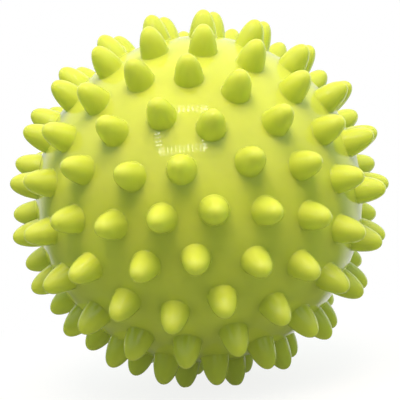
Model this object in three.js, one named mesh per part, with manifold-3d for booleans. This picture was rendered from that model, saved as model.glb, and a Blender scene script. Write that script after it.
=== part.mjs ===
// A hollow spiky massage ball in soft moulded plastic: two half shells that meet in a lap
// joint at the equator, with an air valve and its plug at the rear pole.
//
// Millimetres. The origin is the ball's centre, +Z is up, and the mould axis runs along Y,
// with the valve at +Y. The ball stands on the four spikes nearest to straight down.
import * as THREE from "three";
import { ConvexHull } from "three/addons/math/ConvexHull.js";
import { mergeGeometries, mergeVertices } from "three/addons/utils/BufferGeometryUtils.js";
import Module from "manifold-3d";

// Ball
const CORE_DIAMETER = 77.3;
const WALL = 2.8;
const FIT_GAP = 0.3;

// Spikes
const SPIKE_HEIGHT = 6.35;
const SPIKE_ROOT_DIAMETER = 6.5;
const SPIKE_TIP_RADIUS = 1.85;
const SPIKE_SIDE_BULGE = 0.32;
const TIP_FLATTENED_BY = 0.2;

// Rings of spikes on each half, from the pole spike to the equator. The turn of a ring is the
// angle of its first spike from +Z, clockwise as seen from the front.
const RINGS = [
  { spikes: 1, turn: 0 },
  { spikes: 6, turn: 26 },
  { spikes: 12, turn: 1.5 },
  { spikes: 17, turn: 11 },
  { spikes: 20, turn: 12 },
  { spikes: 22, turn: 180 / 22 },
];
const RING_STEP = 180 / (2 * RINGS.length - 1);

// Lap joint at the equator
const TONGUE_THICKNESS = 1.2;
const TONGUE_LENGTH = 2.5;

// Air valve
const PLUG_STEM_DIAMETER = 5.6;
const PLUG_STEM_LENGTH = 9.0;
const PLUG_HEAD_DIAMETER = 8.4;
const PLUG_HEAD_THICKNESS = 1.0;
const PLUG_TIP_LENGTH = 1.6;
const PLUG_TIP_DIAMETER = 3.4;
const SLEEVE_WALL = 1.8;
const SLEEVE_FLANGE_WIDTH = 1.3;
const SLEEVE_FLANGE_THICKNESS = 1.0;
const SLEEVE_BEAD_WIDTH = 0.9;
const SLEEVE_BEAD_LENGTH = 1.5;
const VALVE_SEAT_THICKNESS = 4.0;
const BOSS_WALL = 2.6;

// Facets
const SHELL_SIDES = 44;
const SPIKE_SIDES = 8;
const SPIKE_SIDE_STEPS = 2;
const SPIKE_TIP_STEPS = 2;
const VALVE_SIDES = 24;
const ARC_STEP = Math.PI / 22;

const coreRadius = CORE_DIAMETER / 2;
const innerRadius = coreRadius - WALL;
const tipCentreRadius = coreRadius + SPIKE_HEIGHT - SPIKE_TIP_RADIUS;

// Valve levels along the mould axis and radii about it, outermost first.
const headTop = coreRadius;
const headSeat = headTop - PLUG_HEAD_THICKNESS;
const flangeTop = headSeat - FIT_GAP;
const flangeSeat = flangeTop - SLEEVE_FLANGE_THICKNESS;
const recessFloor = flangeSeat - FIT_GAP;
const bossEnd = recessFloor - VALVE_SEAT_THICKNESS;
const beadSeat = bossEnd - FIT_GAP;
const sleeveEnd = beadSeat - SLEEVE_BEAD_LENGTH;
const boreRadius = PLUG_STEM_DIAMETER / 2 + FIT_GAP;
const sleeveRadius = boreRadius + SLEEVE_WALL;
const flangeRadius = Math.max(sleeveRadius + SLEEVE_FLANGE_WIDTH, PLUG_HEAD_DIAMETER / 2);
const holeRadius = sleeveRadius + FIT_GAP;
const recessRadius = flangeRadius + FIT_GAP;
const bossRadius = holeRadius + BOSS_WALL;

const wasm = await Module();
wasm.setup();

// A geometry's triangles with nothing but their corners.
function bare(geometry) {
  const triangles = geometry.index ? geometry.toNonIndexed() : geometry.clone();
  triangles.deleteAttribute("normal");
  triangles.deleteAttribute("uv");
  return triangles;
}

// Geometries that close on each other, as one solid that can be cut.
function solidOf(...geometries) {
  const merged = mergeVertices(mergeGeometries(geometries.map(bare)), 1e-4);
  return new wasm.Manifold(
    new wasm.Mesh({
      numProp: 3,
      vertProperties: merged.attributes.position.array,
      triVerts: new Uint32Array(merged.index.array),
    }),
  );
}

function geometryOf(solid) {
  const mesh = solid.getMesh();
  const geometry = new THREE.BufferGeometry();
  geometry.setAttribute("position", new THREE.BufferAttribute(mesh.vertProperties, 3));
  geometry.setIndex(new THREE.BufferAttribute(mesh.triVerts, 1));
  geometry.computeVertexNormals();
  return geometry;
}

// Points of an arc about the origin of the profile plane, from one angle to another. Angles
// are measured from the equator towards +Y.
function arc(radius, from, to) {
  const steps = Math.max(1, Math.round(Math.abs(to - from) / ARC_STEP));
  return Array.from({ length: steps + 1 }, (_, i) => {
    const angle = from + ((to - from) * i) / steps;
    return new THREE.Vector2(radius * Math.cos(angle), radius * Math.sin(angle));
  });
}

const point = (radius, y) => new THREE.Vector2(radius, y);
const onAxis = (y) => point(0, y);

// Turns a half outline, listed from its lower end to its upper end, about the mould axis.
function turned(outline, sides) {
  return new THREE.LatheGeometry(outline, sides);
}

// Half outline of a spike, from its foot on the core to its tip: a slightly bulged cone that
// ends in a round tip. y is measured from the top of the core under the spike.
function spikeOutline() {
  const rootRadius = SPIKE_ROOT_DIAMETER / 2;
  const foot = point(rootRadius, Math.sqrt(coreRadius ** 2 - rootRadius ** 2) - coreRadius);
  const tipCentre = SPIKE_HEIGHT - SPIKE_TIP_RADIUS;
  const reach = Math.hypot(rootRadius, tipCentre - foot.y);
  const slope = Math.atan2(tipCentre - foot.y, rootRadius);
  const shoulderAngle = Math.acos(SPIKE_TIP_RADIUS / reach) - slope;
  const outwards = point(Math.cos(shoulderAngle), Math.sin(shoulderAngle));
  const shoulder = point(0, tipCentre).addScaledVector(outwards, SPIKE_TIP_RADIUS);
  const bulge = foot.clone().lerp(shoulder, 0.5).addScaledVector(outwards, 2 * SPIKE_SIDE_BULGE);
  const side = new THREE.QuadraticBezierCurve(foot, bulge, shoulder).getPoints(SPIKE_SIDE_STEPS);
  const tipStep = (Math.PI / 2 - shoulderAngle) / SPIKE_TIP_STEPS;
  const tip = [];
  for (let i = 1; i < SPIKE_TIP_STEPS; i++) {
    const angle = shoulderAngle + i * tipStep;
    const spoke = point(Math.cos(angle), Math.sin(angle));
    tip.push(point(0, tipCentre).addScaledVector(spoke, SPIKE_TIP_RADIUS));
  }
  return [...side, ...tip, onAxis(SPIKE_HEIGHT)];
}

// Unit vectors of a half's spikes, ring by ring. side is -1 for the front half, whose pole
// points along -Y, and 1 for the rear half, which mirrors it.
function spikeDirections(side, firstRing) {
  const directions = [];
  RINGS.slice(firstRing).forEach((ring, i) => {
    const polar = THREE.MathUtils.degToRad(RING_STEP * (firstRing + i));
    for (let k = 0; k < ring.spikes; k++) {
      const around = THREE.MathUtils.degToRad(ring.turn + (360 * k) / ring.spikes);
      directions.push(
        new THREE.Vector3(
          Math.sin(polar) * Math.sin(around),
          side * Math.cos(polar),
          Math.sin(polar) * Math.cos(around),
        ),
      );
    }
  });
  return directions;
}

// The open surface of one spike, standing on the core along a direction.
function spikeAlong(direction) {
  const upright = new THREE.Vector3(0, 1, 0);
  const turn = new THREE.Quaternion().setFromUnitVectors(upright, direction);
  const foot = direction.clone().multiplyScalar(coreRadius);
  const place = new THREE.Matrix4().compose(foot, turn, new THREE.Vector3(1, 1, 1));
  return turned(spikeOutline(), SPIKE_SIDES).applyMatrix4(place);
}

// The ring of points that one point of an outline sweeps when it is turned.
function sweptRing(geometry, row) {
  const { points, segments } = geometry.parameters;
  const positions = geometry.getAttribute("position");
  return Array.from({ length: segments }, (_, i) =>
    new THREE.Vector3().fromBufferAttribute(positions, i * points.length + row),
  );
}

// The core's surface between loops of points: the hull of all the points, without the faces
// that lie inside one loop.
function surfaceBetween(loops) {
  const loopOf = new Map();
  loops.forEach((loop, i) => loop.forEach((corner) => loopOf.set(corner, i)));
  const corners = [];
  for (const face of new ConvexHull().setFromPoints([...loopOf.keys()]).faces) {
    const { edge } = face;
    const triangle = [edge.tail().point, edge.head().point, edge.next.head().point];
    if (new Set(triangle.map((corner) => loopOf.get(corner))).size > 1) corners.push(...triangle);
  }
  return new THREE.BufferGeometry().setFromPoints(corners);
}

// A half shell: the wall's open inside, which meets the outer surface at the rim, the spikes,
// and the surface between their feet, with any further points that it passes through.
function halfShell(inside, rimRow, directions, furtherPoints) {
  const wall = turned(inside, SHELL_SIDES);
  const spikes = directions.map(spikeAlong);
  const feet = spikes.map((spike) => sweptRing(spike, 0));
  const single = furtherPoints.map((corner) => [corner]);
  const outside = surfaceBetween([sweptRing(wall, rimRow), ...feet, ...single]);
  return solidOf(wall, outside, ...spikes).subtract(belowFloor());
}

// Height of the surface that the ball stands on. Four spikes of the rings beside the equator
// reach it, and their soft tips are pressed a little flat.
function floorHeight() {
  const lowest = spikeDirections(-1, RINGS.length - 1).reduce((a, b) => (a.z < b.z ? a : b));
  return lowest.z * tipCentreRadius - SPIKE_TIP_RADIUS + TIP_FLATTENED_BY;
}

// Everything below the floor, as a block that trims the tips.
function belowFloor() {
  const size = 2 * (coreRadius + SPIKE_HEIGHT);
  const block = new THREE.BoxGeometry(size, size, size);
  return solidOf(block.translate(0, 0, floorHeight() - size / 2));
}

// Front half: the wall ends in a tongue on its inner side, which enters the rear half.
function frontHalfShell() {
  const rim = -FIT_GAP / 2;
  const tongueRadius = innerRadius + TONGUE_THICKNESS;
  const inside = [
    point(Math.sqrt(coreRadius ** 2 - rim ** 2), rim),
    point(tongueRadius, rim),
    point(tongueRadius, TONGUE_LENGTH),
    point(innerRadius, TONGUE_LENGTH),
    ...arc(innerRadius, 0, -Math.PI / 2).slice(0, -1),
    onAxis(-innerRadius),
  ];
  return halfShell(inside, 0, spikeDirections(-1, 0), []);
}

// The space that the valve sleeve takes up in the rear half, with its way out past the spikes.
function valvePocket() {
  const inside = beadSeat;
  const outside = coreRadius + 2 * SPIKE_HEIGHT;
  const outline = [
    onAxis(inside),
    point(holeRadius, inside),
    point(holeRadius, recessFloor),
    point(recessRadius, recessFloor),
    point(recessRadius, outside),
    onAxis(outside),
  ];
  return solidOf(turned(outline, VALVE_SIDES));
}

// Points of the core around the valve, where the pole has no spike.
function valveLand() {
  const pole = new THREE.Vector3(0, coreRadius, 0);
  const polar = Math.asin(recessRadius / coreRadius);
  const edge = Array.from({ length: VALVE_SIDES }, (_, i) =>
    new THREE.Vector3().setFromSphericalCoords(coreRadius, polar, (2 * Math.PI * i) / VALVE_SIDES),
  );
  return [pole, ...edge];
}

// Rear half: rebated at the rim for the tongue, and thickened to a boss behind the valve.
function rearHalfShell() {
  const rim = FIT_GAP / 2;
  const rebateRadius = innerRadius + TONGUE_THICKNESS + FIT_GAP;
  const rebateEnd = TONGUE_LENGTH + FIT_GAP;
  const innerStart = Math.asin(rebateEnd / innerRadius);
  const innerStop = Math.acos(bossRadius / innerRadius);
  const inside = [
    onAxis(bossEnd),
    point(bossRadius, bossEnd),
    ...arc(innerRadius, innerStop, innerStart),
    point(rebateRadius, rebateEnd),
    point(rebateRadius, rim),
    point(Math.sqrt(coreRadius ** 2 - rim ** 2), rim),
  ];
  const whole = halfShell(inside, inside.length - 1, spikeDirections(1, 1), valveLand());
  return whole.subtract(valvePocket());
}

// Valve sleeve: a flange outside the boss and a bead inside it hold the sleeve in its hole.
function valveSleeve() {
  const beadRadius = sleeveRadius + SLEEVE_BEAD_WIDTH;
  const outline = [
    point(boreRadius, sleeveEnd),
    point(sleeveRadius, sleeveEnd),
    point(beadRadius, beadSeat),
    point(sleeveRadius, beadSeat),
    point(sleeveRadius, flangeSeat),
    point(flangeRadius, flangeSeat),
    point(flangeRadius, flangeTop),
    point(boreRadius, flangeTop),
    point(boreRadius, sleeveEnd),
  ];
  return solidOf(turned(outline, VALVE_SIDES));
}

// Plug: a flat head flush with the ball, and a stem with a tapered end that fills the bore.
function airPlug() {
  const stemRadius = PLUG_STEM_DIAMETER / 2;
  const headRadius = PLUG_HEAD_DIAMETER / 2;
  const stemEnd = headSeat - PLUG_STEM_LENGTH;
  const outline = [
    onAxis(stemEnd),
    point(PLUG_TIP_DIAMETER / 2, stemEnd),
    point(stemRadius, stemEnd + PLUG_TIP_LENGTH),
    point(stemRadius, headSeat),
    point(headRadius, headSeat),
    point(headRadius, headTop),
    onAxis(headTop),
  ];
  return solidOf(turned(outline, VALVE_SIDES));
}

const softPlastic = { color: "#c3d032", roughness: 0.28, metalness: 0 };
const valveRubber = { color: "#aab62c", roughness: 0.55, metalness: 0 };
const plugPlastic = { color: "#e6e8dc", roughness: 0.4, metalness: 0 };

function piece(name, solid, finish) {
  const mesh = new THREE.Mesh(geometryOf(solid), new THREE.MeshStandardMaterial(finish));
  mesh.name = name;
  return mesh;
}

const ball = new THREE.Group();
ball.name = "spiky_massage_ball";
ball.add(
  piece("front_half_shell", frontHalfShell(), softPlastic),
  piece("rear_half_shell", rearHalfShell(), softPlastic),
  piece("valve_sleeve", valveSleeve(), valveRubber),
  piece("air_plug", airPlug(), plugPlastic),
);

export default ball;
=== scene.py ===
"""Looks of a spiky massage ball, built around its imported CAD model.

Metres, in the CAD model's own frame: the origin is the ball's centre, +Z is up, and the mould
axis runs along Y, with the front pole spike at -Y and the air valve at +Y.
"""
import math

import bmesh
import bpy
from mathutils import Matrix, Vector
from mathutils.kdtree import KDTree


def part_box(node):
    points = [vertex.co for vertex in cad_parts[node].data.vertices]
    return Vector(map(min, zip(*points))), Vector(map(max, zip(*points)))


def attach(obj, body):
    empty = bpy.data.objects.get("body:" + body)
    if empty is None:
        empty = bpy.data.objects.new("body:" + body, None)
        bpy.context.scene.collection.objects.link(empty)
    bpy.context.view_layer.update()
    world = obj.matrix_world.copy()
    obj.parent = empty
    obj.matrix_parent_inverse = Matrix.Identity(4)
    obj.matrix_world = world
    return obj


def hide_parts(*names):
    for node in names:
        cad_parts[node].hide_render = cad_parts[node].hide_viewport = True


bl_info = {
    "name": "Spiky massage ball",
    "version": (1, 0, 0),
    "blender": (4, 5, 0),
    "location": "View3D > Sidebar > Massage Ball",
    "description": "Builds a soft plastic massage ball with moulded spikes and an air valve",
    "category": "Add Mesh",
}

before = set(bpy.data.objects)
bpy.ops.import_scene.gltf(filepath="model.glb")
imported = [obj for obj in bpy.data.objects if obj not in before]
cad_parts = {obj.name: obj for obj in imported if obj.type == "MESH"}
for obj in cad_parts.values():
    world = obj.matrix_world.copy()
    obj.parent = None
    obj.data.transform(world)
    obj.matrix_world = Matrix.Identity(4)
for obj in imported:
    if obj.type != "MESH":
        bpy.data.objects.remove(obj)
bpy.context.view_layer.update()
MM = 0.001

# The side of the parting plane that each half lies on, along Y.
FRONT, REAR = -1, 1

# Rings of spikes on each half, from the pole spike to the equator: how many spikes, and the
# angle in degrees of the first one from +Z, clockwise as seen from the front.
RINGS = ((1, 0), (6, 26), (12, 1.5), (17, 11), (20, 12), (22, 180 / 22))
RING_STEP = math.pi / (2 * len(RINGS) - 1)

# What the CAD model gives: the plug's head is flush with the core, and a pole spike's tip is
# the furthest point of the front half.
CORE_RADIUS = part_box("air_plug")[1].y
SPIKE_REACH = -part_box("front_half_shell")[0].y
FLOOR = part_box("front_half_shell")[0].z

# Sizes of the lap joint and of the valve, as in the CAD model.
FIT_GAP = 0.3 * MM
TONGUE_THICKNESS = 1.2 * MM
TONGUE_LENGTH = 2.5 * MM
PLUG_STEM_RADIUS = 2.8 * MM
PLUG_HEAD_THICKNESS = 1.0 * MM
PLUG_TIP_RADIUS = 1.7 * MM
PLUG_TIP_LENGTH = 1.6 * MM
SLEEVE_WALL = 1.8 * MM
SLEEVE_FLANGE_THICKNESS = 1.0 * MM
SLEEVE_BEAD_WIDTH = 0.9 * MM
SLEEVE_BEAD_LENGTH = 1.5 * MM
VALVE_SEAT_THICKNESS = 4.0 * MM
BOSS_WALL = 2.6 * MM
BORE_RADIUS = PLUG_STEM_RADIUS + FIT_GAP
SLEEVE_RADIUS = BORE_RADIUS + SLEEVE_WALL

# How finely round shapes are divided.
SPIKE_SIDES = 24
WALL_SIDES = 88
SMALL_SIDES = 64
CORNER_STEPS = 4
WALL_STEPS = 40
CORE_POINT_SPACING = 1.5 * MM

# Lengths below this count as none.
NOTHING = 1e-9

# Most of a noise texture's values lie between these two.
NOISE_LOW, NOISE_HIGH = 0.3, 0.7


def number(name, text, default, **options):
    return bpy.props.FloatProperty(name=name, description=text, default=default, **options)


def length(name, text, default):
    return number(name, text, default, subtype="DISTANCE", unit="LENGTH", precision=5)


def degrees(name, text, default):
    return number(name, text, math.radians(default), subtype="ANGLE")


def position(name, text, default):
    return bpy.props.FloatVectorProperty(
        name=name, description=text, default=default, subtype="XYZ_LENGTH"
    )


def hex_colour(name, text, default):
    return bpy.props.StringProperty(name=name, description=text, default=default)


class BallSizes(bpy.types.PropertyGroup):
    """Sizes of the ball that a user would change"""

    core_radius: length("Core radius", "Radius of the ball without its spikes", CORE_RADIUS)
    spike_reach: length("Spike reach", "Distance of a spike's tip from the centre", SPIKE_REACH)
    spike_root: length("Spike root radius", "Radius of a spike where its side starts", 3.25 * MM)
    spike_tip: length("Spike tip radius", "Radius of a spike's round tip", 1.8 * MM)
    side_draft: length("Side draft", "How far a spike's side leans in over its lower half", 0.25 * MM)
    root_fillet: length("Root fillet", "Width of the fillet round a spike's root", 0.2 * MM)
    wall: length("Wall", "Thickness of the shell", 2.8 * MM)
    seam_edge: length("Seam edge", "Rounding of the rims where the halves meet", 0.3 * MM)
    seam_gap: length("Seam gap", "Gap between the two rims", 0.06 * MM)


class BallColours(bpy.types.PropertyGroup):
    """Colours of the ball, as sRGB hex values"""

    soft_pvc: hex_colour("Soft PVC", "Colour of the shell", "#c3d152")
    valve_rubber: hex_colour("Valve rubber", "Colour of the valve sleeve", "#aab62c")
    plug_plastic: hex_colour("Plug plastic", "Colour of the air plug", "#e6e8dc")


class StudioSettings(bpy.types.PropertyGroup):
    """Camera, lamps and surroundings"""

    distance: length("Camera distance", "Distance of the camera from the ball's centre", 0.2945)
    azimuth: degrees("Azimuth", "Camera's angle to the right of the front", 12.1)
    elevation: degrees("Elevation", "Camera's angle above the horizon", 5.0)
    roll: degrees("Roll", "How far the top of the camera leans to its right", 5.2)
    lens: number("Lens", "Focal length in millimetres on a 36 mm sensor", 111.1, unit="CAMERA")
    shift: bpy.props.FloatVectorProperty(
        name="Shift", description="Camera shift across and up, in picture widths", size=2,
        default=(0.0016, -0.0022),
    )
    background: hex_colour("Background", "Colour behind the ball", "#ffffff")
    bounce: hex_colour("Bounce", "Tone of the light that the floor throws back", "#9a9e96")
    backlight: number("Backlight", "Level of the sweep's own light on the ball", 0.2)
    shadow_share: number("Shadow share", "How dark the ball's shadow may get", 0.16, min=0.0, max=1.0)
    shadow_reach: length("Shadow reach", "Distance from the ball where its shadow has faded", 0.11)
    key_watts: number("Key power", "Power of the softbox in watts", 4.4, unit="POWER")
    key_side: length("Key side", "Side of the square softbox", 0.36)
    key_place: position("Key place", "Centre of the softbox, above the camera", (0.05, -0.225, 0.5))
    key_colour: hex_colour("Key colour", "Colour of the softbox", "#ffe6cc")
    fill_colour: hex_colour("Fill colour", "Colour of the light from the surroundings", "#edfff6")
    fill_level: number("Fill level", "Level of the light from the sides and back", 1.02)
    front_share: number("Front share", "Share of that level that comes from the camera's side", 0.14)
    roof_level: number("Roof level", "Level of the light tent's roof, as the ball mirrors it", 0.8)
    back_level: number("Back level", "Level of the sweep behind, as the ball mirrors it", 0.9)
    room_level: number("Room level", "Level of the dim room behind the camera, where 1 is white", 0.12)
    led_side: length("LED panel side", "Side of the square of LEDs above the camera", 0.221)
    led_place: position(
        "LED panel place", "Centre of the square of LEDs, which faces the ball", (0.005, -0.269, 0.347)
    )
    led_turn: degrees("LED panel turn", "How far the square of LEDs is turned about its middle", 4.0)
    led_colour: hex_colour("LED colour", "Colour of one LED", "#fffdf4")
    led_strength: number("LED strength", "Brightness of one LED, where 1 is white", 11.0)


def linear(hex_value):
    """An sRGB hex value as a linear colour with alpha."""
    channels = [int(hex_value[i:i + 2], 16) / 255 for i in (1, 3, 5)]
    return [c / 12.92 if c <= 0.04045 else ((c + 0.055) / 1.055) ** 2.4 for c in channels] + [1.0]


def shaded(colour, level):
    """A linear colour made darker or lighter."""
    return [min(1.0, level * c) for c in colour[:3]] + [1.0]


def add_node(tree, kind, settings=None, values=None, links=None):
    """Adds a node: settings are its attributes, values its inputs, links what feeds its inputs."""
    node = tree.nodes.new(kind)
    for key, value in (settings or {}).items():
        setattr(node, key, value)
    for key, value in (values or {}).items():
        node.inputs[key].default_value = value
    for key, source in (links or {}).items():
        tree.links.new(source, node.inputs[key])
    return node


def new_material(name):
    material = bpy.data.materials.new(name)
    material.use_nodes = True
    tree = material.node_tree
    tree.nodes.clear()
    return material, tree


def soft_pvc_material():
    """Soft PVC moulded in a polished tool and sprayed with release: glossy, with a faint orange
    peel and a handling haze. It is a little cloudy, and light goes in some millimetres deep, so
    that the shaded sides of the spikes glow."""
    cloud_size, haze_size, peel_size = 14 * MM, 4 * MM, 0.8 * MM
    darkest, lightest = 0.94, 1.05
    polished, hazy = 0.03, 0.055
    peel_strength, peel_depth = 0.05, 0.03 * MM
    scattered_share, scatter_depth = 0.7, 5.0 * MM
    # Red and green light go in deeper than blue.
    depth_by_colour = (1.0, 1.0, 0.4)
    base = linear(bpy.context.scene.ball_colours.soft_pvc)
    material, tree = new_material("moulded soft PVC")
    place = add_node(tree, "ShaderNodeTexCoord").outputs["Object"]
    cloud, haze, peel = [
        add_node(
            tree,
            "ShaderNodeTexNoise",
            values={"Scale": 1 / size, "Detail": detail},
            links={"Vector": place},
        ).outputs["Fac"]
        for size, detail in ((cloud_size, 3.0), (haze_size, 4.0), (peel_size, 2.0))
    ]
    tone = add_node(tree, "ShaderNodeValToRGB", links={"Fac": cloud})
    dark_stop, light_stop = tone.color_ramp.elements
    dark_stop.position, light_stop.position = NOISE_LOW, NOISE_HIGH
    dark_stop.color = shaded(base, darkest)
    light_stop.color = shaded(base, lightest)
    gloss = add_node(
        tree,
        "ShaderNodeMapRange",
        values={"From Min": NOISE_LOW, "From Max": NOISE_HIGH, "To Min": polished, "To Max": hazy},
        links={"Value": haze},
    )
    bump = add_node(
        tree,
        "ShaderNodeBump",
        values={"Strength": peel_strength, "Distance": peel_depth},
        links={"Height": peel},
    )
    shader = add_node(
        tree,
        "ShaderNodeBsdfPrincipled",
        values={
            "IOR": 1.53,
            "Subsurface Weight": scattered_share,
            "Subsurface Radius": depth_by_colour,
            "Subsurface Scale": scatter_depth,
        },
        links={
            "Base Color": tone.outputs["Color"],
            "Roughness": gloss.outputs["Result"],
            "Normal": bump.outputs["Normal"],
        },
    )
    add_node(tree, "ShaderNodeOutputMaterial", links={"Surface": shader.outputs["BSDF"]})
    return material


def moulded_material(name, colour, roughness, grain):
    """A small moulded piece with a fine grain: satin, with the grain breaking up its highlight.
    A real grain is about 0.1 mm across, and here it is drawn coarser so that it shows."""
    darkest = 0.9
    spread = 0.08
    grain_strength, grain_depth = 0.2, 0.03 * MM
    base = linear(colour)
    material, tree = new_material(name)
    place = add_node(tree, "ShaderNodeTexCoord").outputs["Object"]
    speckle = add_node(
        tree, "ShaderNodeTexNoise", values={"Scale": 1 / grain, "Detail": 3.0}, links={"Vector": place}
    ).outputs["Fac"]
    tone = add_node(tree, "ShaderNodeValToRGB", links={"Fac": speckle})
    dark_stop, light_stop = tone.color_ramp.elements
    dark_stop.color = shaded(base, darkest)
    light_stop.color = base
    gloss = add_node(
        tree,
        "ShaderNodeMapRange",
        values={"To Min": roughness - spread, "To Max": roughness + spread},
        links={"Value": speckle},
    )
    bump = add_node(
        tree,
        "ShaderNodeBump",
        values={"Strength": grain_strength, "Distance": grain_depth},
        links={"Height": speckle},
    )
    shader = add_node(
        tree,
        "ShaderNodeBsdfPrincipled",
        values={"IOR": 1.5},
        links={
            "Base Color": tone.outputs["Color"],
            "Roughness": gloss.outputs["Result"],
            "Normal": bump.outputs["Normal"],
        },
    )
    add_node(tree, "ShaderNodeOutputMaterial", links={"Surface": shader.outputs["BSDF"]})
    return material


def new_object(name, data):
    made = bpy.data.objects.new(name, data)
    bpy.context.scene.collection.objects.link(made)
    return made


def arc_points(centre, radius, start, stop, steps):
    """Points of an arc in a half plane (distance from the axis, height), first to last."""
    angles = [start + (stop - start) * i / steps for i in range(steps + 1)]
    return [Vector((centre[0] + radius * math.cos(a), centre[1] + radius * math.sin(a))) for a in angles]


def curve_points(first, middle, last, steps):
    """Points of a quadratic curve in the half plane."""
    shares = [i / steps for i in range(steps + 1)]
    return [(1 - t) ** 2 * first + 2 * t * (1 - t) * middle + t * t * last for t in shares]


def turned_mesh(name, outline, sides, axis="Y"):
    """Turns an outline of (radius, height) points about an axis, outwards on its right as it
    runs up. A point on the axis becomes one vertex, and an outline may be open or closed."""
    closed = (outline[0] - outline[-1]).length < NOTHING
    points = outline[:-1] if closed else outline
    mesh = bpy.data.meshes.new(name)
    work = bmesh.new()
    rows = []
    for radius, height in points:
        ring = []
        for i in range(1 if radius < NOTHING else sides):
            angle = 2 * math.pi * i / sides
            across, along = radius * math.cos(angle), radius * math.sin(angle)
            place = (along, height, across) if axis == "Y" else (across, along, height)
            ring.append(work.verts.new(place))
        rows.append(ring)
    pairs = list(zip(rows, rows[1:] + rows[:1])) if closed else list(zip(rows, rows[1:]))
    for low, high in pairs:
        for i in range(sides):
            j = (i + 1) % sides
            corners = [low[i % len(low)], low[j % len(low)], high[j % len(high)], high[i % len(high)]]
            work.faces.new(list(dict.fromkeys(corners)))
    work.to_mesh(mesh)
    work.free()
    return mesh


def rounded(outline, radius):
    """The outline with each inner corner rounded off, as far as its neighbours leave room."""
    # Two corners share an edge, so each takes less than half of it.
    most = 0.45
    result = [outline[0]]
    for before, corner, after in zip(outline, outline[1:], outline[2:]):
        room = min(radius, most * (before - corner).length, most * (after - corner).length)
        start = corner + room * (before - corner).normalized()
        stop = corner + room * (after - corner).normalized()
        result += curve_points(start, corner, stop, CORNER_STEPS)
    return result + [outline[-1]]


def foot_radius(sizes):
    return sizes.spike_root + sizes.root_fillet


def spike_outline(sizes):
    """Half outline of a spike, from its foot on the core up to its tip: a small fillet, then one
    egg-shaped cubic curve. Heights are measured from the top of the core under the spike."""
    side_steps = 12
    fillet_end = 0.03
    belly_share = 0.47
    # The radius at a cubic curve's end is this times its last reach squared over its last rise.
    end_factor = 1.5
    core = sizes.core_radius
    height = sizes.spike_reach - core
    root = Vector((sizes.spike_root, math.sqrt(core ** 2 - sizes.spike_root ** 2) - core))
    belly = Vector((sizes.spike_root - sizes.side_draft, belly_share * height))
    crown = Vector((math.sqrt(sizes.spike_tip * (height - belly.y) / end_factor), height))
    apex = Vector((0, height))
    side = []
    for i in range(side_steps + 1):
        t = fillet_end + (1 - fillet_end) * i / side_steps
        u = 1 - t
        side.append(u ** 3 * root + 3 * u * u * t * belly + 3 * u * t * t * crown + t ** 3 * apex)
    outer = foot_radius(sizes)
    foot = Vector((outer, math.sqrt(core ** 2 - outer ** 2) - core))
    return curve_points(foot, root, side[0], CORNER_STEPS) + side[1:-1] + [apex]


def spike_mesh(sizes):
    """One spike standing along +Z, with the points of its foot marked."""
    mesh = turned_mesh("spike", spike_outline(sizes), SPIKE_SIDES, axis="Z")
    mark = mesh.attributes.new("foot", "BOOLEAN", "POINT")
    for i in range(SPIKE_SIDES):
        mark.data[i].value = True
    return mesh


def spike_seats(sizes, side, first_ring):
    """Points of the core that carry a spike, on the given half."""
    seats = []
    for step, (count, turn) in enumerate(RINGS):
        if step < first_ring:
            continue
        polar = RING_STEP * step
        for k in range(count):
            around = math.radians(turn) + 2 * math.pi * k / count
            place = Vector((
                math.sin(polar) * math.sin(around),
                side * math.cos(polar),
                math.sin(polar) * math.cos(around),
            ))
            seats.append(sizes.core_radius * place)
    return seats


def point_mesh(name, points):
    mesh = bpy.data.meshes.new(name)
    mesh.from_pydata([tuple(p) for p in points], [], [])
    return mesh


def point_finder(points):
    finder = KDTree(len(points))
    for i, place in enumerate(points):
        finder.insert(place, i)
    finder.balance()
    return finder


def core_points(sizes, side, seats, rings):
    """Points of the core's surface between the spikes' feet: an even spiral, and the given rings
    of points where the surface ends, the rim first."""
    foot_clearance = foot_radius(sizes) + 0.4 * CORE_POINT_SPACING
    edge_clearance = 0.6 * CORE_POINT_SPACING
    lowest = abs(rings[0][0].y) + edge_clearance
    points = [place for ring in rings for place in ring]
    feet, edges = point_finder(seats), point_finder(points)
    total = int(4 * math.pi * sizes.core_radius ** 2 / CORE_POINT_SPACING ** 2)
    golden = math.pi * (3 - math.sqrt(5))
    for i in range(total // 2):
        height = 1 - (2 * i + 1) / total
        wide = math.sqrt(1 - height ** 2)
        place = sizes.core_radius * Vector((
            wide * math.sin(golden * i), side * height, wide * math.cos(golden * i)
        ))
        clear = feet.find(place)[2] > foot_clearance and edges.find(place)[2] > edge_clearance
        if clear and abs(place.y) > lowest:
            points.append(place)
    return points


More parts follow.
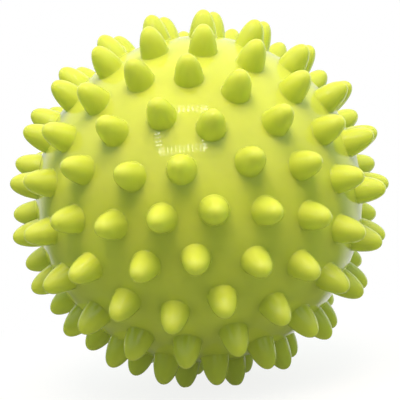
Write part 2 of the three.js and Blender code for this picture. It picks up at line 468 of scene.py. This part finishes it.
def spiked_skin_tree():
    """Geometry Nodes: stands a spike on each point, spans the core's surface between the spikes'
    feet, opens it at the rim and at the valve, and closes it with the wall's inside."""
    weld = 0.002 * MM
    tree = bpy.data.node_groups.new("spiked skin", "GeometryNodeTree")
    face = tree.interface
    for name, kind in (
        ("Seats", "NodeSocketGeometry"),
        ("Spike", "NodeSocketObject"),
        ("Core Points", "NodeSocketObject"),
        ("Wall", "NodeSocketObject"),
        ("Foot Radius", "NodeSocketFloat"),
        ("Rim", "NodeSocketFloat"),
        ("Valve Radius", "NodeSocketFloat"),
        ("Pole", "NodeSocketVector"),
        ("Material", "NodeSocketMaterial"),
    ):
        face.new_socket(name, in_out="INPUT", socket_type=kind)
    face.new_socket("Half Shell", in_out="OUTPUT", socket_type="NodeSocketGeometry")
    given = add_node(tree, "NodeGroupInput").outputs
    place = add_node(tree, "GeometryNodeInputPosition").outputs["Position"]
    spike, between, wall = [
        add_node(tree, "GeometryNodeObjectInfo", links={"Object": given[name]}).outputs["Geometry"]
        for name in ("Spike", "Core Points", "Wall")
    ]

    upright = add_node(tree, "FunctionNodeAlignRotationToVector", {"axis": "Z"}, links={"Vector": place})
    stood = add_node(
        tree,
        "GeometryNodeInstanceOnPoints",
        links={"Points": given["Seats"], "Instance": spike, "Rotation": upright.outputs["Rotation"]},
    )
    spikes = add_node(tree, "GeometryNodeRealizeInstances", links={"Geometry": stood.outputs["Instances"]})

    marked = add_node(tree, "GeometryNodeInputNamedAttribute", {"data_type": "BOOLEAN"}, {"Name": "foot"})
    feet = add_node(
        tree,
        "GeometryNodeSeparateGeometry",
        {"domain": "POINT"},
        links={"Geometry": spikes.outputs["Geometry"], "Selection": marked.outputs["Attribute"]},
    )
    spanned = add_node(tree, "GeometryNodeJoinGeometry", links={"Geometry": feet.outputs["Selection"]})
    tree.links.new(between, spanned.inputs["Geometry"])
    hull = add_node(tree, "GeometryNodeConvexHull", links={"Geometry": spanned.outputs["Geometry"]})

    near = add_node(
        tree, "GeometryNodeProximity", {"target_element": "POINTS"}, links={0: given["Seats"]}
    )
    height = add_node(tree, "ShaderNodeSeparateXYZ", links={"Vector": place}).outputs["Y"]
    level = add_node(tree, "ShaderNodeMath", {"operation": "ABSOLUTE"}, links={0: height})
    off_pole = add_node(
        tree, "ShaderNodeVectorMath", {"operation": "DISTANCE"}, links={0: place, 1: given["Pole"]}
    )
    in_foot, in_rim, in_valve = [
        add_node(
            tree,
            "FunctionNodeCompare",
            {"data_type": "FLOAT", "operation": "LESS_THAN"},
            links={0: measure, 1: given[limit]},
        ).outputs["Result"]
        for measure, limit in (
            (near.outputs["Distance"], "Foot Radius"),
            (level.outputs["Value"], "Rim"),
            (off_pole.outputs["Value"], "Valve Radius"),
        )
    ]
    open_here = in_foot
    for opening in (in_rim, in_valve):
        open_here = add_node(
            tree, "FunctionNodeBooleanMath", {"operation": "OR"}, links={0: open_here, 1: opening}
        ).outputs["Boolean"]
    skin = add_node(
        tree,
        "GeometryNodeDeleteGeometry",
        {"domain": "FACE", "mode": "ALL"},
        links={"Geometry": hull.outputs["Convex Hull"], "Selection": open_here},
    )

    whole = add_node(tree, "GeometryNodeJoinGeometry", links={"Geometry": skin.outputs["Geometry"]})
    tree.links.new(spikes.outputs["Geometry"], whole.inputs["Geometry"])
    tree.links.new(wall, whole.inputs["Geometry"])
    sewn = add_node(
        tree,
        "GeometryNodeMergeByDistance",
        values={"Distance": weld},
        links={"Geometry": whole.outputs["Geometry"]},
    )
    smooth = add_node(tree, "GeometryNodeSetShadeSmooth", links={"Geometry": sewn.outputs["Geometry"]})
    real = add_node(tree, "GeometryNodeRealizeInstances", links={"Geometry": smooth.outputs["Geometry"]})
    coated = add_node(
        tree,
        "GeometryNodeSetMaterial",
        links={"Geometry": real.outputs["Geometry"], "Material": given["Material"]},
    )
    add_node(tree, "NodeGroupOutput", links={"Half Shell": coated.outputs["Geometry"]})
    return tree


def grown(name, base, tree, inputs):
    """The mesh that a Geometry Nodes tree makes on a base mesh, as a plain object."""
    carrier = new_object(name + " seats", base)
    modifier = carrier.modifiers.new("spiked skin", "NODES")
    modifier.node_group = tree
    for socket in tree.interface.items_tree:
        if socket.in_out == "INPUT" and socket.name in inputs:
            modifier[socket.identifier] = inputs[socket.name]
    bpy.context.view_layer.update()
    graph = bpy.context.evaluated_depsgraph_get()
    mesh = bpy.data.meshes.new_from_object(carrier.evaluated_get(graph))
    mesh.name = name
    mesh.attributes.remove(mesh.attributes["foot"])
    carrier.modifiers.remove(modifier)
    bpy.data.objects.remove(carrier)
    return new_object(name, mesh)


def press_flat(mesh):
    """The soft tips that the ball stands on are pressed flat by the floor."""
    for vertex in mesh.vertices:
        vertex.co.z = max(vertex.co.z, FLOOR)


def round_core(mesh, radius):
    """Gives the core's points the normals of a true sphere, so that it mirrors without ripples."""
    tolerance = 0.003 * MM
    normals = []
    for vertex in mesh.vertices:
        on_core = abs(vertex.co.length - radius) < tolerance
        normals.append(vertex.co.normalized() if on_core else vertex.normal.copy())
    mesh.normals_split_custom_set_from_vertices(normals)


def ring_points(radius, height, sides):
    """Points of a ring about the mould axis, where a turned mesh has its own."""
    angles = [2 * math.pi * i / sides for i in range(sides)]
    return [Vector((radius * math.sin(a), height, radius * math.cos(a))) for a in angles]


def front_wall_outline(sizes):
    """From the front half's rim, over its tongue, to the inside of its pole."""
    core = sizes.core_radius
    inner = core - sizes.wall
    tongue = inner + TONGUE_THICKNESS
    rim = -sizes.seam_gap / 2
    start = Vector((math.sqrt(core ** 2 - sizes.seam_edge ** 2), -sizes.seam_edge))
    edge = curve_points(start, Vector((core, rim)), Vector((core - sizes.seam_edge, rim)), CORNER_STEPS)
    inside = arc_points((0, 0), inner, 0, -math.pi / 2, WALL_STEPS)
    step = [Vector((tongue, rim)), Vector((tongue, TONGUE_LENGTH)), Vector((inner, TONGUE_LENGTH))]
    return edge + step + inside[:-1] + [Vector((0, -inner))]


def rear_wall_outline(sizes):
    """From the valve's recess, through its hole and boss, to the rear half's rim."""
    core = sizes.core_radius
    inner = core - sizes.wall
    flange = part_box("valve_sleeve")[1]
    recess = flange.x + FIT_GAP
    recess_floor = flange.y - SLEEVE_FLANGE_THICKNESS - FIT_GAP
    hole = SLEEVE_RADIUS + FIT_GAP
    boss = hole + BOSS_WALL
    boss_end = recess_floor - VALVE_SEAT_THICKNESS
    rebate = inner + TONGUE_THICKNESS + FIT_GAP
    rebate_end = TONGUE_LENGTH + FIT_GAP
    rim = sizes.seam_gap / 2
    lip = 0.3 * MM
    mouth = Vector((recess + lip, math.sqrt(core ** 2 - (recess + lip) ** 2)))
    corner = Vector((recess, mouth.y))
    below = Vector((recess, mouth.y - lip))
    valve = curve_points(mouth, corner, below, CORNER_STEPS)
    valve += [Vector((recess, recess_floor)), Vector((hole, recess_floor)), Vector((hole, boss_end))]
    valve += [Vector((boss, boss_end))]
    inside = arc_points((0, 0), inner, math.acos(boss / inner), math.asin(rebate_end / inner), WALL_STEPS)
    step = [Vector((rebate, rebate_end)), Vector((rebate, rim))]
    stop = Vector((math.sqrt(core ** 2 - sizes.seam_edge ** 2), sizes.seam_edge))
    edge = curve_points(Vector((core - sizes.seam_edge, rim)), Vector((core, rim)), stop, CORNER_STEPS)
    return valve + inside + step + edge


def stand_for(piece, node, body):
    """Lets a piece stand for its CAD node, on the node's body."""
    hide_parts(node)
    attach(piece, body)


def half_shell(node, side, first_ring, wall_outline, tree, material):
    """Makes one half shell with its spikes, and lets it stand for its CAD node."""
    # Takes away the hull's flat lid at the rim, which is one seam edge from the parting plane.
    rim_cut = 1.3
    sizes = bpy.context.scene.ball_sizes
    seats = spike_seats(sizes, side, first_ring)
    ends = [wall_outline[0], wall_outline[-1]]
    rim_end, pole_end = ends if side == FRONT else reversed(ends)
    rings = [ring_points(rim_end.x, rim_end.y, WALL_SIDES)]
    valve_radius = 0.0
    if pole_end.x > 0:
        rings.append(ring_points(pole_end.x, pole_end.y, WALL_SIDES))
        valve_radius = (pole_end - Vector((0, sizes.core_radius))).length
    spike = new_object("spike", spike_mesh(sizes))
    between = new_object("core points", point_mesh("core points", core_points(sizes, side, seats, rings)))
    wall = new_object("wall", turned_mesh("wall", wall_outline, WALL_SIDES))
    piece = grown(node + "_skin", point_mesh("seats", seats), tree, {
        "Spike": spike,
        "Core Points": between,
        "Wall": wall,
        "Foot Radius": foot_radius(sizes) * math.cos(math.pi / SPIKE_SIDES),
        "Rim": rim_cut * sizes.seam_edge,
        "Valve Radius": valve_radius * math.cos(math.pi / WALL_SIDES),
        "Pole": (0.0, side * sizes.core_radius, 0.0),
        "Material": material,
    })
    for helper in (spike, between, wall):
        bpy.data.objects.remove(helper)
    press_flat(piece.data)
    round_core(piece.data, sizes.core_radius)
    stand_for(piece, node, "ball")


def turned_piece(node, corners, material, edge, body):
    """Makes a small piece turned about the mould axis, with its edges rounded."""
    name = node + "_skin"
    mesh = turned_mesh(name, rounded([Vector(c) for c in corners], edge), SMALL_SIDES)
    mesh.shade_smooth()
    mesh.materials.append(material)
    stand_for(new_object(name, mesh), node, body)


class MakeHalfShells(bpy.types.Operator):
    """Make the two soft PVC half shells with their spikes"""

    bl_idname = "massage_ball.half_shells"
    bl_label = "Half shells"

    def execute(self, context):
        sizes = context.scene.ball_sizes
        tree = spiked_skin_tree()
        material = soft_pvc_material()
        for node, side, first_ring, wall_outline in (
            ("front_half_shell", FRONT, 0, front_wall_outline(sizes)),
            # The valve takes the place of the rear pole spike.
            ("rear_half_shell", REAR, 1, rear_wall_outline(sizes)),
        ):
            half_shell(node, side, first_ring, wall_outline, tree, material)
        return {"FINISHED"}


class MakeValveSleeve(bpy.types.Operator):
    """Make the rubber sleeve of the air valve"""

    bl_idname = "massage_ball.valve_sleeve"
    bl_label = "Valve sleeve"

    def execute(self, context):
        low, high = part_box("valve_sleeve")
        bead = SLEEVE_RADIUS + SLEEVE_BEAD_WIDTH
        bead_seat = low.y + SLEEVE_BEAD_LENGTH
        flange_seat = high.y - SLEEVE_FLANGE_THICKNESS
        middle = (low.y + high.y) / 2
        corners = [
            (BORE_RADIUS, middle), (BORE_RADIUS, low.y), (SLEEVE_RADIUS, low.y), (bead, bead_seat),
            (SLEEVE_RADIUS, bead_seat), (SLEEVE_RADIUS, flange_seat), (high.x, flange_seat),
            (high.x, high.y), (BORE_RADIUS, high.y), (BORE_RADIUS, middle),
        ]
        colour = context.scene.ball_colours.valve_rubber
        rubber = moulded_material("moulded soft rubber", colour, roughness=0.5, grain=0.5 * MM)
        turned_piece("valve_sleeve", corners, rubber, edge=0.25 * MM, body="ball")
        return {"FINISHED"}


class MakeAirPlug(bpy.types.Operator):
    """Make the plug that closes the air valve"""

    bl_idname = "massage_ball.air_plug"
    bl_label = "Air plug"

    def execute(self, context):
        low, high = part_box("air_plug")
        taper_end = low.y + PLUG_TIP_LENGTH
        seat = high.y - PLUG_HEAD_THICKNESS
        dish_floor = high.y - 0.25 * MM
        dish_top, dish_foot = 0.55 * high.x, 0.45 * high.x
        corners = [
            (0, low.y), (PLUG_TIP_RADIUS, low.y), (PLUG_STEM_RADIUS, taper_end), (PLUG_STEM_RADIUS, seat),
            (high.x, seat), (high.x, high.y), (dish_top, high.y), (dish_foot, dish_floor), (0, dish_floor),
        ]
        colour = context.scene.ball_colours.plug_plastic
        plastic = moulded_material("moulded polyethylene", colour, roughness=0.4, grain=0.4 * MM)
        turned_piece("air_plug", corners, plastic, edge=0.3 * MM, body="plug")
        return {"FINISHED"}


def camera_matrix(studio):
    """The camera looks at the ball's centre from its azimuth and elevation, rolled about its view."""
    out = Vector((
        math.cos(studio.elevation) * math.sin(studio.azimuth),
        -math.cos(studio.elevation) * math.cos(studio.azimuth),
        math.sin(studio.elevation),
    ))
    right = Vector((0, 0, 1)).cross(out).normalized()
    up = out.cross(right)
    turned_right = math.cos(studio.roll) * right - math.sin(studio.roll) * up
    turned_up = math.cos(studio.roll) * up + math.sin(studio.roll) * right
    matrix = Matrix((turned_right, turned_up, out)).transposed().to_4x4()
    matrix.translation = studio.distance * out
    return matrix


def seen_directly(tree):
    """1 for rays from the camera and from mirror-like and clear surfaces, 0 for light's own bounces."""
    path = add_node(tree, "ShaderNodeLightPath").outputs
    shown = path["Is Camera Ray"]
    for kind in ("Is Glossy Ray", "Is Transmission Ray"):
        shown = add_node(
            tree, "ShaderNodeMath", {"operation": "MAXIMUM"}, links={0: shown, 1: path[kind]}
        ).outputs["Value"]
    return shown


def shaded_place(tree):
    """The shaded point, the same point at the height of the ball's centre, and that one's distance
    from the upright axis through the ball."""
    place = add_node(tree, "ShaderNodeTexCoord").outputs["Object"]
    flat = add_node(
        tree, "ShaderNodeVectorMath", {"operation": "MULTIPLY"}, {1: (1.0, 1.0, 0.0)}, {0: place}
    ).outputs["Vector"]
    away = add_node(tree, "ShaderNodeVectorMath", {"operation": "LENGTH"}, links={0: flat}).outputs["Value"]
    return place, flat, away


def sweep_material(studio):
    """White sweep: shown at plain white, with a share of real diffuse near the ball, which keeps its
    shadow. The light that it throws back on the ball is that of a grey card with some glow."""
    material, tree = new_material("white sweep")
    white = linear(studio.background)
    seen = seen_directly(tree)
    away = shaded_place(tree)[2]
    glow_share = add_node(
        tree,
        "ShaderNodeMapRange",
        {"interpolation_type": "SMOOTHSTEP"},
        {"From Max": studio.shadow_reach, "To Min": 1 - studio.shadow_share, "To Max": 1.0},
        {"Value": away},
    ).outputs["Result"]
    shown = add_node(tree, "ShaderNodeMath", {"operation": "MULTIPLY"}, links={0: glow_share, 1: seen})
    share = add_node(
        tree,
        "ShaderNodeMath",
        {"operation": "MAXIMUM"},
        {1: studio.backlight},
        {0: shown.outputs["Value"]},
    )
    tone = add_node(tree, "ShaderNodeMix", {"data_type": "RGBA"}, links={"Factor": seen})
    tone.inputs["A"].default_value = linear(studio.bounce)
    tone.inputs["B"].default_value = white
    plain = add_node(tree, "ShaderNodeBsdfDiffuse", links={"Color": tone.outputs["Result"]})
    glow = add_node(tree, "ShaderNodeEmission", values={"Color": white, "Strength": 1.0})
    mixed = add_node(
        tree,
        "ShaderNodeMixShader",
        links={0: share.outputs["Value"], 1: plain.outputs["BSDF"], 2: glow.outputs["Emission"]},
    )
    add_node(tree, "ShaderNodeOutputMaterial", links={"Surface": mixed.outputs["Shader"]})
    return material


def led_material(studio):
    """White LEDs behind a clear cover: small and far brighter than white paper."""
    material, tree = new_material("white LED")
    glow = add_node(
        tree,
        "ShaderNodeEmission",
        values={"Color": linear(studio.led_colour), "Strength": studio.led_strength},
    )
    add_node(tree, "ShaderNodeOutputMaterial", links={"Surface": glow.outputs["Emission"]})
    return material


def mirrored_only(card):
    """Leaves an object to reflections: the camera, shadows and soft light don't meet it."""
    card.visible_camera = False
    card.visible_diffuse = False
    card.visible_shadow = False


def led_panel(studio):
    """The square of LEDs above the camera, which glossy surfaces mirror as rows of short strokes."""
    count = 12
    half = studio.led_side / 2
    pitch = studio.led_side / (count - 1)
    half_width = 0.13 * pitch
    # Strokes at the left and right are shorter than those at the top and bottom.
    half_lengths = (0.75 * pitch, 1.05 * pitch)
    place = Vector(studio.led_place)
    facing = place.to_track_quat("Z", "Y").to_matrix().to_4x4()
    stand = Matrix.Translation(place) @ facing @ Matrix.Rotation(studio.led_turn, 4, "Z")
    corners, faces = [], []
    for edge in range(4):
        turn = stand @ Matrix.Rotation(edge * math.pi / 2, 4, "Z")
        half_length = half_lengths[edge % 2]
        for k in range(count):
            middle = Vector((half, k * pitch - half, 0))
            start = len(corners)
            for x, y in ((-1, -1), (1, -1), (1, 1), (-1, 1)):
                corners.append(turn @ (middle + Vector((x * half_length, y * half_width, 0))))
            faces.append(tuple(range(start, start + 4)))
    mesh = bpy.data.meshes.new("led panel")
    mesh.from_pydata([tuple(c) for c in corners], [], faces)
    mesh.materials.append(led_material(studio))
    mirrored_only(new_object("led panel", mesh))


def lining_material(studio):
    """The surroundings as the ball mirrors them: a dim room in front and at the sides, the white
    sweep behind, and a paler roof."""
    sweep_starts, sweep_full = 0.35, 0.75
    # Within this distance of the ball's axis the mirrored cloth is held at the dim room's level: a painted
    # shadow of the ball on the floor that the cloth stands for.
    painted_shadow_reach = 0.04
    roof_full = 0.65
    material, tree = new_material("tent lining")
    place, flat, away = shaded_place(tree)
    heading = add_node(tree, "ShaderNodeVectorMath", {"operation": "NORMALIZE"}, links={0: flat})
    back = add_node(tree, "ShaderNodeSeparateXYZ", links={"Vector": heading.outputs["Vector"]}).outputs["Y"]
    aim = add_node(tree, "ShaderNodeVectorMath", {"operation": "NORMALIZE"}, links={0: place})
    rise = add_node(tree, "ShaderNodeSeparateXYZ", links={"Vector": aim.outputs["Vector"]}).outputs["Z"]
    behind, outside_painted_shadow, upwards = [
        add_node(
            tree,
            "ShaderNodeMapRange",
            {"interpolation_type": "SMOOTHSTEP"},
            {"From Min": start, "From Max": stop},
            {"Value": measure},
        ).outputs["Result"]
        for measure, start, stop in (
            (back, sweep_starts, sweep_full), (away, 0.0, painted_shadow_reach), (rise, 0.0, roof_full)
        )
    ]
    # The white sweep behind the ball, less the painted shadow under it.
    pale = add_node(tree, "ShaderNodeMath", {"operation": "MULTIPLY"}, links={0: behind, 1: outside_painted_shadow})
    low = add_node(
        tree,
        "ShaderNodeMapRange",
        values={"To Min": studio.room_level, "To Max": studio.back_level},
        links={"Value": pale.outputs["Value"]},
    )
    level = add_node(
        tree,
        "ShaderNodeMix",
        values={"B": studio.roof_level},
        links={"Factor": upwards, "A": low.outputs["Result"]},
    )
    glow = add_node(
        tree,
        "ShaderNodeEmission",
        values={"Color": linear(studio.background)},
        links={"Strength": level.outputs["Result"]},
    )
    add_node(tree, "ShaderNodeOutputMaterial", links={"Surface": glow.outputs["Emission"]})
    return material


def tent_lining(studio):
    """A half dome around the stage and a cloth just over the floor, for the ball to mirror."""
    reach = 1.2
    lowest_angle = 0.02
    steps, sides = 12, 48
    low = FLOOR + 0.2 * MM
    material = lining_material(studio)
    rising = arc_points((0, 0), reach, lowest_angle, math.pi / 2, steps)[:-1]
    dome = [Vector((reach, low)), *rising, Vector((0, reach))]
    cloth = [Vector((0, low)), Vector((reach, low))]
    for name, outline in (("tent dome", dome), ("grey cloth", cloth)):
        mesh = turned_mesh(name, outline, sides, axis="Z")
        mesh.materials.append(material)
        mirrored_only(new_object(name, mesh))


def floor(studio):
    half = 3.0
    mesh = bpy.data.meshes.new("floor")
    mesh.from_pydata(
        [(-half, -half, FLOOR), (half, -half, FLOOR), (half, half, FLOOR), (-half, half, FLOOR)],
        [],
        [(0, 1, 2, 3)],
    )
    mesh.materials.append(sweep_material(studio))
    new_object("floor", mesh)


def softbox(studio):
    """The square key light, which faces the ball and isn't mirrored in it."""
    light = bpy.data.lights.new("softbox", "AREA")
    light.shape = "SQUARE"
    light.size = studio.key_side
    light.energy = studio.key_watts
    light.color = linear(studio.key_colour)[:3]
    place = Vector(studio.key_place)
    made = new_object("softbox", light)
    made.location = place
    made.rotation_euler = (-place).to_track_quat("-Z", "Y").to_euler()
    made.visible_glossy = False


def surroundings(studio):
    """A world that is plain white where it is seen, and lights the ball from its sides and back."""
    front_ends, sides_full = -0.9, 0.2
    world = bpy.data.worlds.new("white surroundings")
    world.use_nodes = True
    tree = world.node_tree
    tree.nodes.clear()
    heading = add_node(tree, "ShaderNodeTexCoord").outputs["Generated"]
    back = add_node(tree, "ShaderNodeSeparateXYZ", links={"Vector": heading}).outputs["Y"]
    fill_level = add_node(
        tree,
        "ShaderNodeMapRange",
        values={
            "From Min": front_ends,
            "From Max": sides_full,
            "To Min": studio.fill_level * studio.front_share,
            "To Max": studio.fill_level,
        },
        links={"Value": back},
    )
    fill = add_node(
        tree,
        "ShaderNodeBackground",
        values={"Color": linear(studio.fill_colour)},
        links={"Strength": fill_level.outputs["Result"]},
    )
    white = add_node(
        tree, "ShaderNodeBackground", values={"Color": linear(studio.background), "Strength": 1.0}
    )
    mixed = add_node(
        tree,
        "ShaderNodeMixShader",
        links={0: seen_directly(tree), 1: fill.outputs["Background"], 2: white.outputs["Background"]},
    )
    add_node(tree, "ShaderNodeOutputWorld", links={"Surface": mixed.outputs["Shader"]})
    return world


def camera(studio):
    view = bpy.data.cameras.new("camera")
    view.sensor_width = 36.0
    view.lens = studio.lens
    view.shift_x, view.shift_y = studio.shift
    view.clip_start = 10 * MM
    made = new_object("camera", view)
    made.matrix_world = camera_matrix(studio)
    return made


class MakeStage(bpy.types.Operator):
    """Make the floor, the lamps, the surroundings and the camera"""

    bl_idname = "massage_ball.stage"
    bl_label = "Stage"

    def execute(self, context):
        scene = context.scene
        studio = scene.ball_studio
        floor(studio)
        softbox(studio)
        led_panel(studio)
        tent_lining(studio)
        scene.world = surroundings(studio)
        scene.view_settings.view_transform = "Standard"
        scene.camera = camera(studio)
        return {"FINISHED"}


class MassageBallPanel(bpy.types.Panel):
    """Shows sizes, colours and studio settings, and a button for each group of pieces"""

    bl_idname = "VIEW3D_PT_massage_ball"
    bl_label = "Massage Ball"
    bl_space_type = "VIEW_3D"
    bl_region_type = "UI"
    bl_category = "Massage Ball"

    def draw(self, context):
        layout = self.layout
        for group in (context.scene.ball_sizes, context.scene.ball_colours, context.scene.ball_studio):
            box = layout.box()
            for name in group.__annotations__:
                box.prop(group, name)
        for operator in OPERATORS:
            layout.operator(operator.bl_idname)


GROUPS = (BallSizes, BallColours, StudioSettings)
OPERATORS = (MakeHalfShells, MakeValveSleeve, MakeAirPlug, MakeStage)


def register():
    for kind in (*GROUPS, *OPERATORS, MassageBallPanel):
        bpy.utils.register_class(kind)
    bpy.types.Scene.ball_sizes = bpy.props.PointerProperty(type=BallSizes)
    bpy.types.Scene.ball_colours = bpy.props.PointerProperty(type=BallColours)
    bpy.types.Scene.ball_studio = bpy.props.PointerProperty(type=StudioSettings)


def unregister():
    del bpy.types.Scene.ball_studio
    del bpy.types.Scene.ball_colours
    del bpy.types.Scene.ball_sizes
    for kind in reversed((*GROUPS, *OPERATORS, MassageBallPanel)):
        bpy.utils.unregister_class(kind)


def main():
    register()
    bpy.ops.massage_ball.half_shells()
    bpy.ops.massage_ball.valve_sleeve()
    bpy.ops.massage_ball.air_plug()
    bpy.ops.massage_ball.stage()


if __name__ == "__main__":
    main()
